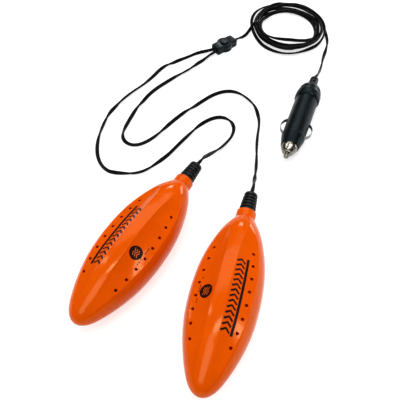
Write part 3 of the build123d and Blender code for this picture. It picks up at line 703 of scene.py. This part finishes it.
def half_shell(name):
    """Upper half of a pod's case, as a closed thick skin."""
    outer, inner = [], []
    rows = body_rows()
    for x, collar in rows:
        columns = half_columns(min(x, NECK))
        azimuths = np.r_[-columns[:0:-1], columns]
        for azimuth in azimuths:
            radius = collar if collar is not None else pod_radius(x, azimuth)
            edge = max(0.0, 1 - (pi / 2 - abs(azimuth)) / radians(1.0))
            outer.append(pod_point(x, radius - SEAM * edge**2 * min(1.0, radius), azimuth))
            inner.append(inner_point(x, radius, collar, azimuth))
    across = len(azimuths)
    count = len(rows) * across
    faces = []
    for r in range(len(rows) - 1):
        for k in range(across - 1):
            a = r * across + k
            faces.append((a, a + 1, a + across + 1, a + across))
            faces.append((count + a, count + a + across, count + a + across + 1, count + a + 1))
        for a in (r * across, r * across + across - 1):
            faces.append((a, a + across, count + a + across, count + a))
    last = (len(rows) - 1) * across
    for k in range(across - 1):
        faces.append((last + k, last + k + 1, count + last + k + 1, count + last + k))
    return mesh_object(name, outer + inner, faces)


def vents():
    """Middle and direction of each vent of one half."""
    places = []
    for k in range(VENT_COUNT):
        x = VENT_FIRST + k * VENT_PITCH
        bowed = radians(VENT_AZIMUTH - VENT_BOW * (x - VENT_MIDDLE) ** 2)
        places += [(np.array((x, 0, 0)), np.array((0, sin(a), cos(a)))) for a in (bowed, -bowed)]
    return places


def vent_prisms():
    """Round tools for the vent holes of one half."""
    ring = np.linspace(0, tau, 28, endpoint=False)
    along = np.array((1, 0, 0))
    shapes = []
    for middle, out in vents():
        across = np.cross(along, out)
        points = [
            middle + out * reach + VENT_RADIUS * (across * cos(a) + along * sin(a))
            for reach in TOOL_REACH for a in ring
        ]
        shapes.append((points, len(ring)))
    return shapes


def paint_vent_shade(obj):
    """Painted shade: a dark second material on the walls of the vents, which little light reaches.
    """
    faces = obj.data.polygons
    spots = np.array([face.center for face in faces])
    normals = np.array([face.normal for face in faces])
    material = np.zeros(len(faces), int)
    for middle, out in vents():
        aside = spots - middle
        aside -= np.outer(aside @ out, out)
        # faces on a vent's wall get the painted shade material
        inside = np.linalg.norm(aside, axis=1) < VENT_RADIUS + CUT_WALL
        material[inside & (abs(normals @ out) < 0.5)] = 1
    faces.foreach_set("material_index", material)


def screw_prisms():
    """Round tools for the screw recesses in the lower half, which is cut while it points up."""
    ring = np.linspace(0, tau, 36, endpoint=False)
    wide = SCREW_RECESS
    return [
        ([(x + wide * cos(a), wide * sin(a), z) for z in TOOL_REACH for a in ring], len(ring))
        for x in SCREW_X
    ]


def screw_bosses():
    """Posts that the screws sit in, which line the recesses of the lower half."""
    posts = []
    for x in SCREW_X:
        top = outline_radius(x) * POD_FLATNESS - POD_WALL / 2
        post = lathe("post", [
            (0.1, SCREW_HOLE), (0.1, SCREW_POST), (top, SCREW_POST), (top, SCREW_RECESS),
            (6.0, SCREW_RECESS), (6.0, SCREW_HOLE),
        ], 36)
        post.data.transform(Matrix.Translation((x, 0, 0)) @ Matrix.Rotation(-pi / 2, 4, "Y"))
        posts.append(post)
    return posts


def cable_boot():
    """Ribbed rubber boot with round ridges."""
    inner = NECK - 5
    end = POD_LENGTH + BOOT_LENGTH
    outline = [
        (inner - 2, BOOT_BORE), (inner - 2, BOOT_FOOT, 0.4), (inner, BOOT_FOOT, 0.4),
        (inner, BOOT_NECK), (POD_LENGTH, BOOT_NECK),
    ]
    pitch = BOOT_LENGTH / BOOT_RIDGES
    for k in range(BOOT_RIDGES):
        crest = BOOT_CREST - BOOT_TAPER * k / (BOOT_RIDGES - 1)
        start = POD_LENGTH + k * pitch
        outline += [
            (start + 0.10 * pitch, crest - BOOT_GROOVE, 0.25),
            (start + 0.16 * pitch, crest, 0.7),
            (start + 0.62 * pitch, crest, 0.7),
            (start + 0.68 * pitch, crest - BOOT_GROOVE, 0.25),
        ]
    outline = outline[:-2] + [(end, 5.05, 0.6), (end, 2.1, 0.3), (end - 1.2, BOOT_BORE)]
    return lathe("boot", outline)


def pod_place(side):
    """Where a pod lies, from the pod's own millimetres."""
    x, y, heading, roll = PODS[side]
    height = POD_WIDTH / 2 * hypot(sin(radians(roll)), POD_FLATNESS * cos(radians(roll)))
    spot = Matrix.Translation((x, y, height)) @ Matrix.Rotation(radians(90 - heading), 4, "Z")
    turn = Matrix.Rotation(radians(roll), 4, "X") @ Matrix.Translation((-POD_LENGTH / 2, 0, 0))
    return TO_METRES @ spot @ turn


PRINT_LIFT = 0.05  # how far ink stands out of the shell
PRINT_DEPTH = 0.12  # how far it goes into it
WAVE_LIFT = 0.08
LANE_WIDTH = 0.5
STROKE_STEP = 0.8
BAR = (35, 1.5, 88, 0.7), 1.8  # its two ends, and its width
CHEVRONS = 14
CHEVRON_FIRST = 36.3
CHEVRON_PITCH = 3.65
CHEVRON_SIZE = (2.3, 3.1)  # of each of its two strokes, along and across
CHEVRON_WIDTH = 1.25
BADGE_X = {"left": 56.0, "right": 59.5}
BADGE_ACROSS = -1.5
BADGE_RADIUS = 2.5  # of the middle of a ring wide enough to fill the disc
BADGE_WIDTH = 4.8
DASH = 1.2
DASH_PITCH = 1.9
DASH_ACROSS = 4.0
DASH_WIDTH = 0.6
DASH_CLEAR = 2.0  # least distance from a vent's middle
WAVE_REACH = 2.7
WAVE_HEIGHT = 0.5
WAVE_GAPS = (-1.7, 0, 1.7)
WAVE_WIDTH = 0.55


def stroke(line, width, side, lift):
    """Printed stroke: a thin raised ribbon on the shell.

    Its line is in (distance from the tip, distance across the flute).
    """
    line = np.array(line, float)
    closed = np.allclose(line[0], line[-1])
    if closed:
        line = line[:-1]
        ahead = np.roll(line, -1, axis=0) - np.roll(line, 1, axis=0)
    else:
        ahead = np.gradient(line, axis=0)
    ahead /= np.linalg.norm(ahead, axis=1)[:, None]
    sideways = np.c_[-ahead[:, 1], ahead[:, 0]]
    lanes = np.linspace(-0.5, 0.5, max(4, int(width / LANE_WIDTH) + 2))
    section = [(lane, lift) for lane in lanes] + [(lane, -PRINT_DEPTH) for lane in lanes[::-1]]
    points = []
    for spot, out in zip(line, sideways):
        for lane, rise in section:
            x, across = spot + out * lane * width
            radius = outline_radius(x) - flute_depth(x)
            azimuth = side * (FLUTE_AZIMUTH + across / radius)
            points.append(pod_point(x, pod_radius(x, azimuth) + rise, azimuth))
    return points, ring_faces(len(line), len(section), "joined" if closed else "capped")


def straight(x0, v0, x1, v1):
    """Line of points for a straight stroke."""
    count = max(3, int(hypot(x1 - x0, v1 - v0) / STROKE_STEP) + 2)
    return np.linspace((x0, v0), (x1, v1), count)


def print_strokes(name, strokes, side, lift):
    """Object from several strokes."""
    points, faces = [], []
    for line, width in strokes:
        more, shapes = stroke(line, width, side, lift)
        faces += [tuple(i + len(points) for i in face) for face in shapes]
        points += more
    return mesh_object(name, points, faces, SHARP_RIBBON)


def flow_band():
    """Long bar beside a row of chevrons."""
    ends, width = BAR
    strokes = [(straight(*ends), width)]
    along, across = CHEVRON_SIZE
    for k in range(CHEVRONS):
        x = CHEVRON_FIRST + k * CHEVRON_PITCH
        edge = -0.1 - 0.9 * (x - 35) / 54
        there = straight(x, edge, x + along, edge - across)
        back = straight(x + along, edge - across, x, edge - 2 * across)
        strokes.append((np.vstack((there, back[1:])), CHEVRON_WIDTH))
    return strokes


def badge_disc(middle):
    """Round badge with a row of small dashes beside it, which leaves out the vents."""
    turn = np.linspace(0, tau, 41)
    disc = np.c_[
        middle + BADGE_RADIUS * np.cos(turn),
        BADGE_ACROSS + BADGE_RADIUS * np.sin(turn),
    ]
    vent_x = [VENT_FIRST + k * VENT_PITCH for k in range(VENT_COUNT)]
    dashes = [
        (straight(x, DASH_ACROSS, x + DASH, DASH_ACROSS), DASH_WIDTH)
        for x in np.arange(middle - 8, middle + 10, DASH_PITCH)
        if min(abs(x + DASH / 2 - vent) for vent in vent_x) > DASH_CLEAR
    ]
    return [(disc, BADGE_WIDTH)] + dashes


def badge_waves(middle):
    """Three rising waves on the badge."""
    run = np.linspace(-WAVE_REACH, WAVE_REACH, 25)
    wave = WAVE_HEIGHT * np.sin(run * 2.2)
    return [(np.c_[middle + run, BADGE_ACROSS + gap + wave], WAVE_WIDTH) for gap in WAVE_GAPS]


def make_pods():
    """Both pods' cases, boots and prints."""
    top = half_shell("top")
    bottom = new_object("bottom", top.data.copy())
    cut(top, cutter(vent_prisms()))
    cut(bottom, cutter(vent_prisms() + screw_prisms()))
    # painted shade: the vents' walls get a dark second material
    for half in (top, bottom):
        paint_vent_shade(half)
    bottom = joined("bottom", [bottom] + screw_bosses())
    bottom.data.transform(Matrix.Scale(-1, 4, (0, 0, 1)))
    bottom.data.flip_normals()
    boot = cable_boot()
    for side, band_side in (("left", 1), ("right", -1)):
        place = pod_place(side)
        pieces = (
            (top, "case_top", "orange_shell", "shell_top"),
            (bottom, "case_bottom", "orange_shell", "shell_bottom"),
            (boot, "boot", "black_rubber", "cable_boot"),
        )
        for master, name, slot, replaced in pieces:
            piece = new_object(f"{side}_{name}", master.data.copy())
            settle(piece, place, "dryer", slot, [f"{side}_{replaced}"])
            if slot == "orange_shell":
                # second material: painted shade on the vents' walls
                piece.data.materials.append(MATERIALS["painted_vent_shade"])
        prints = (
            ("band", flow_band(), band_side, "black_ink", PRINT_LIFT),
            ("badge", badge_disc(BADGE_X[side]), -band_side, "black_ink", PRINT_LIFT),
            ("waves", badge_waves(BADGE_X[side]), -band_side, "orange_ink", WAVE_LIFT),
        )
        for name, strokes, flute, ink, lift in prints:
            mark = print_strokes(f"{side}_{name}", strokes, flute, lift)
            settle(mark, place, "dryer", "orange_shell", material=ink)
    for master in (top, bottom, boot):
        bpy.data.objects.remove(master)


# ---------------- inline switch
SWITCH_AT = (45.6, 267.6)
SWITCH_HEADING = radians(39.5)
SWITCH_HALF = (13.0, 5.75)
SWITCH_BULGE = 8.0
SWITCH_HEIGHT = 8.0
SWITCH_PARTING = 3.6
SWITCH_WALL = 1.4
SWITCH_SQUARENESS = 16  # power that sets how sharp the case's corners are
SWITCH_MERGE = 30  # power that sets how sharply its bulge meets its bar
SWITCH_CORNERS = 240
SWITCH_SPRING_Z = 2.6


def switch_reach(angle, inset):
    """Distance from the switch's middle to its side: a bar with round corners and a round bulge."""
    half_x, half_y = (h - inset for h in SWITCH_HALF)
    power, merge = SWITCH_SQUARENESS, SWITCH_MERGE
    bar = (abs(cos(angle) / half_x) ** power + abs(sin(angle) / half_y) ** power) ** (-1 / power)
    return (bar**merge + (SWITCH_BULGE - inset) ** merge) ** (1 / merge)


def switch_rings(name, levels, ends):
    """Switch part from rings of (height, inset from the side, or None, radius)."""
    angles = np.linspace(0, tau, SWITCH_CORNERS, endpoint=False)
    points = []
    for z, inset, *round_radius in levels:
        for a in angles:
            reach = round_radius[0] if round_radius else switch_reach(a, inset)
            points.append((reach * cos(a), reach * sin(a), z))
    return mesh_object(name, points, ring_faces(len(levels), len(angles), ends))


def make_switch():
    """Case, button and spring of the inline switch."""
    spot = Matrix.Translation((*SWITCH_AT, 0))
    place = TO_METRES @ spot @ Matrix.Rotation(SWITCH_HEADING, 4, "Z")
    part, top = SWITCH_PARTING, SWITCH_HEIGHT
    tray = switch_rings("switch_tray", [
        (0, 1.0), (0.15, 0.55), (0.45, 0.2), (0.9, 0), (part - 0.3, 0), (part - 0.1, 0.12),
        (part, 0.32), (part, SWITCH_WALL), (SWITCH_WALL, SWITCH_WALL),
    ], "capped")
    settle(tray, place, "dryer", "black_plastic", ["switch_case_bottom"])
    lid = switch_rings("switch_lid", [
        (part, 0.32), (part + 0.1, 0.12), (part + 0.3, 0), (top - 1.3, 0.03),
        (top - 0.75, 0.15), (top - 0.35, 0.4), (top - 0.1, 0.8), (top, 1.3), (top, None, 5.5),
        (top - 0.08, None, 5.35), (top - 0.4, None, 5.2), (top - 0.4, None, 4.35),
        (top - 0.55, None, 4.15),
        (top - SWITCH_WALL, None, 4.15), (top - SWITCH_WALL, SWITCH_WALL), (part, SWITCH_WALL),
    ], "joined")
    settle(lid, place, "dryer", "black_plastic", ["switch_case_top"])
    upright = place @ Matrix.Rotation(-pi / 2, 4, "Y")
    button = lathe("switch_cap", [
        (5.5, 0), (5.5, 4.75, 0.15), (6.5, 4.75, 0.15), (6.5, 3.85), (9.2, 3.85, 0.8),
        (9.2, 2.9, 0.3), (8.95, 2.1, 0.8), (8.95, 0),
    ])
    settle(button, upright, "switch_button", "button_plastic", ["switch_button"])
    spring = helix("switch_coil", 1.9, 0.22, 3.2, 2.9)
    spring_place = upright @ Matrix.Translation((SWITCH_SPRING_Z, 0, 0))
    settle(spring, spring_place, "dryer", "spring_steel", ["switch_spring"])
    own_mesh(spring)


# ---------------- car plug, along +X
PLUG_CABLE_END = (129.8, 204.2)
PLUG_HEADING = 201.0  # from +Y towards +X, cable end to tip
RELIEF_LENGTH = 14.0
CAP_END = 34.0
BARREL_END = 81.0
RING_END = 93.5
CONE_END = 101.5
PIN_END = 106.5
CAP_RADIUS = 11.5
BARREL_RADIUS = 10.2
BARREL_FRONT_RADIUS = 10.0
BARREL_BORE = 7.8
BARREL_SPIGOT = 8.6  # radius of the barrel's end inside the cap
PLUG_SIDES = 96
SPRING_START = 61.5
SPRING_END = 80.5
SPRING_CROWN = 14.2
SPRING_FOOT = 8.2
SPRING_WIDTH = 3.6
SPRING_THICKNESS = 0.5


def strain_relief():
    """Rubber sleeve with rows of short slots."""
    start = RELIEF_LENGTH
    sleeve = lathe("plug_sleeve", [
        (0, 1.75), (0, 3.7, 0.5), (0.8, 4.0, 0.4), (start, 4.35), (start + 2.2, 4.35),
        (start + 2.2, 6.0), (start + 4.2, 6.0), (start + 4.2, 1.75),
    ])
    slots = []
    for x in (3.6, 7.2, 10.8):
        for side in (-1, 1):
            low, high = sorted((2.9 * side, 5.5 * side))
            slots.append((box_points((x - 0.85, -1.7, low), (x + 0.85, 1.7, high)), 4))
            slots.append((box_points((x - 0.85, low, -1.7), (x + 0.85, high, 1.7)), 4))
    return cut(sleeve, cutter(slots))


def end_cap():
    """Domed cap with a groove and a round flange."""
    start = RELIEF_LENGTH
    return lathe("plug_cap", [
        (start, 4.4), (start, 6.2, 0.5), (start + 1.1, 7.9, 1.2), (start + 3.0, 9.3, 2.0),
        (start + 5.4, 10.2, 2.5), (start + 8.0, 10.75, 0.25), (start + 8.1, 10.15, 0.2),
        (start + 9.1, 10.15, 0.2), (start + 9.3, 10.95, 0.3), (start + 12.5, CAP_RADIUS, 3.0),
        (CAP_END - 2.4, CAP_RADIUS, 0.9), (CAP_END, BARREL_RADIUS + 0.4, 0.3),
        (CAP_END, BARREL_SPIGOT), (start + 4.2, BARREL_SPIGOT), (start + 4.2, 6.0),
        (start + 2.2, 6.0), (start + 2.2, 4.4),
    ], PLUG_SIDES)


def barrel():
    """Barrel with two slots for the earth springs."""
    tube = lathe("plug_body", [
        (RELIEF_LENGTH + 6, BARREL_BORE), (RELIEF_LENGTH + 6, BARREL_SPIGOT),
        (CAP_END, BARREL_SPIGOT), (CAP_END, BARREL_RADIUS), (60, BARREL_RADIUS),
        (BARREL_END, BARREL_FRONT_RADIUS, 0.25), (BARREL_END, 6.4),
        (BARREL_END - 1.8, 6.4), (BARREL_END - 1.8, BARREL_BORE),
    ], PLUG_SIDES)
    slots = []
    for side in (-1, 1):
        low, high = sorted((5 * side, 15 * side))
        near, far = (SPRING_START - 0.4, low, -2.4), (SPRING_END + 0.1, high, 2.4)
        slots.append((box_points(near, far), 4))
    return cut(tube, cutter(slots))


def nose_ring():
    """Tapered black ring that holds the cone on the barrel."""
    ring = [
        (BARREL_END, 6.6), (BARREL_END, 10.2, 0.3), (BARREL_END + 1.3, 10.2, 0.4),
        (RING_END - 0.9, 7.95, 0.5), (RING_END, 7.6, 0.2), (RING_END, 6.0),
        (BARREL_END + 5, 6.0), (BARREL_END + 5, 6.6),
    ]
    return lathe("plug_ring", ring, PLUG_SIDES)


def metal_cone():
    """Nickel-plated cone that the tip runs through."""
    return lathe("plug_cone", [
        (BARREL_END + 0.1, 5.2), (BARREL_END + 0.1, 6.2), (BARREL_END + 3.4, 6.2),
        (BARREL_END + 3.4, 6.0), (RING_END, 6.0), (RING_END, 7.1, 0.15),
        (RING_END + 2.4, 6.85, 1.2), (CONE_END - 1.7, 5.0, 0.8), (CONE_END - 0.7, 4.3, 0.3),
        (CONE_END - 0.7, 3.5, 0.15), (CONE_END, 3.3, 0.3), (CONE_END, 2.1), (CONE_END - 2, 2.1),
        (CONE_END - 2, 3.4), (RING_END, 4.2), (BARREL_END + 3.4, 5.2),
    ], PLUG_SIDES)


def tip_pin():
    """Centre contact with a ball end."""
    inside = CONE_END - 2.1
    return lathe("plug_tip", [
        (inside - 5, 0), (inside - 5, 1.6), (inside - 1.2, 1.6), (inside - 1.2, 3.2), (inside, 3.2),
        (inside, 2.0), (CONE_END + 0.9, 2.0, 0.3), (CONE_END + 1.4, 1.4, 0.2),
        (CONE_END + 2.0, 1.4, 0.2), (CONE_END + 2.5, 2.05, 0.4), (CONE_END + 3.4, 2.35, 1.0),
        (PIN_END - 0.5, 1.9, 1.0), (PIN_END, 0),
    ], 48)


def earth_spring(name, side):
    """Bowed strip with rounded edges that stands out of its slot."""
    half = (SPRING_END - SPRING_START) / 2
    rise = SPRING_CROWN - SPRING_FOOT
    radius = (half**2 + rise**2) / (2 * rise)
    spread_angle = atan2(half, radius - rise)
    edge = SPRING_WIDTH / 2
    section = [(0.1, edge), (0.0, edge - 0.12), (0.0, -edge + 0.12), (0.1, -edge)]
    section += [(SPRING_THICKNESS - a, -b) for a, b in section]
    points, stations = [], 41
    for angle in np.linspace(-spread_angle, spread_angle, stations):
        for drop, across in section:
            r = radius - drop
            x = (SPRING_START + SPRING_END) / 2 + r * sin(angle)
            points.append((x, side * (SPRING_CROWN - radius + r * cos(angle)), across))
    return mesh_object(name, points, ring_faces(stations, len(section), "capped"), SHARP_CORD)


def make_plug():
    """All visible pieces of the car plug."""
    spot = Matrix.Translation((*PLUG_CABLE_END, PLUG_AXIS_Z))
    place = TO_METRES @ spot @ Matrix.Rotation(radians(90 - PLUG_HEADING), 4, "Z")
    pieces = (
        (strain_relief(), "dryer", "black_rubber", "plug_strain_relief"),
        (end_cap(), "dryer", "black_plastic", "plug_end_cap"),
        (barrel(), "dryer", "black_plastic", "plug_barrel"),
        (nose_ring(), "plug_nose", "black_plastic", "plug_nose_ring"),
        (metal_cone(), "plug_nose", "nickel", "plug_metal_cone"),
        (tip_pin(), "plug_tip", "nickel", "plug_tip_pin"),
    )
    for piece, body, slot, replaced in pieces:
        settle(piece, place, body, slot, [replaced])
    for side, sign in (("left", 1), ("right", -1)):
        bow, node_name = earth_spring(f"plug_{side}_bow", sign), f"plug_{side}_ground_spring"
        settle(bow, place, f"{side}_ground_spring", "spring_steel", [node_name])
    start, length = BARREL_END + 4.2, CONE_END - BARREL_END - 7.5
    spring = helix("plug_tip_coil", 2.5, 0.28, 8.5, length)
    spring_place = place @ Matrix.Translation((start, 0, 0))
    settle(spring, spring_place, "plug_nose", "spring_steel", ["plug_tip_spring"])
    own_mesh(spring)


# ---------------- carried-over nodes
def finish_nodes():
    """Give each CAD node that is still shown its material."""
    slots = {part["node"]: part["material_slot"] for part in frame["record"]["subparts"]}
    for name, obj in frame["nodes"].items():
        obj.data.materials.clear()
        obj.data.materials.append(MATERIALS[slots[name]])


# ---------------- stage
SOFTBOXES = (  # name, place from the target, width and length, turn, radiance
    ("over", (-0.56, -0.80, 1.45), (0.75, 1.3), 0, 3.4),
    ("ceiling", (0.10, 1.05, 1.45), (1.6, 1.0), 0, 1.9),
    ("strip", (0.36, -0.13, 1.45), (0.20, 1.30), 20, 11),
    ("left", (-0.87, 0.41, 1.14), (0.14, 0.80), 0, 8),
    ("back", (0.30, 2.08, 0.78), (0.4, 0.4), 0, 9),
    ("side", (1.35, 1.45, 0.16), (0.6, 0.3), 0, 7),
    ("low", (1.60, 0.20, 0.25), (1.2, 0.3), 0, 3),
)
SURROUNDINGS = 0.05
PAPER_TONE = 0.50
PAPER_ROUGHNESS = 0.8
PAPER_GLOW = 0.55
FLOOR_REACH = 6.0
FLOOR_CORNERS = 96
FLOOR_DROP = 0.0002  # keeps the floor just under the pieces that lie on it


def make_stage():
    """Plain pale floor, a backdrop that only the camera sees, and soft studio light."""
    material = bpy.data.materials.new("paper")
    material.use_nodes = True
    shader = material.node_tree.nodes["Principled BSDF"]
    shader.inputs["Base Color"].default_value = (*[PAPER_TONE] * 3, 1)
    shader.inputs["Roughness"].default_value = PAPER_ROUGHNESS
    shader.inputs["Emission Color"].default_value = (1, 1, 1, 1)
    shader.inputs["Emission Strength"].default_value = PAPER_GLOW
    turns = [k * tau / FLOOR_CORNERS for k in range(FLOOR_CORNERS)]
    rim = [(FLOOR_REACH * cos(turn), FLOOR_REACH * sin(turn)) for turn in turns]
    wall = [(x, y, z) for z in (0, FLOOR_REACH) for x, y in rim]
    for name, points, faces in (
        ("floor", [(x, y, 0) for x, y in rim], [tuple(range(FLOOR_CORNERS))]),
        ("backdrop", wall, ring_faces(2, FLOOR_CORNERS)),
    ):
        mesh = bpy.data.meshes.new(name)
        mesh.from_pydata(points, [], faces)
        mesh.materials.append(material)
        paper = new_object(name, mesh)
        paper.location.z = -FLOOR_DROP
    backdrop = bpy.data.objects["backdrop"]
    backdrop.visible_diffuse = backdrop.visible_glossy = backdrop.visible_shadow = False
    world = bpy.data.worlds.new("studio")
    world.use_nodes = True
    sky = world.node_tree.nodes["Background"].inputs
    sky["Color"].default_value = (1, 1, 1, 1)
    sky["Strength"].default_value = SURROUNDINGS
    scene = bpy.context.scene
    scene.world = world
    scene.view_settings.view_transform = "Standard"
    scene.view_settings.look = "Medium High Contrast"
    for name, place, (width, length), turn, radiance in SOFTBOXES:
        light = bpy.data.lights.new(name, "AREA")
        light.shape = "RECTANGLE"
        light.size = width
        light.size_y = length
        light.energy = radiance * pi * width * length
        lamp = new_object(name, light)
        lamp.visible_camera = False
        aim = (-Vector(place)).to_track_quat("-Z", "Y").to_matrix()
        aim = aim @ Matrix.Rotation(radians(turn), 3, "Z")
        lamp.location = CAMERA_TARGET + Vector(place)
        lamp.rotation_euler = aim.to_euler()


MATERIALS = make_materials()
make_camera()
finish_nodes()
make_switch()
make_plug()
make_cords()
make_pods()
make_stage()
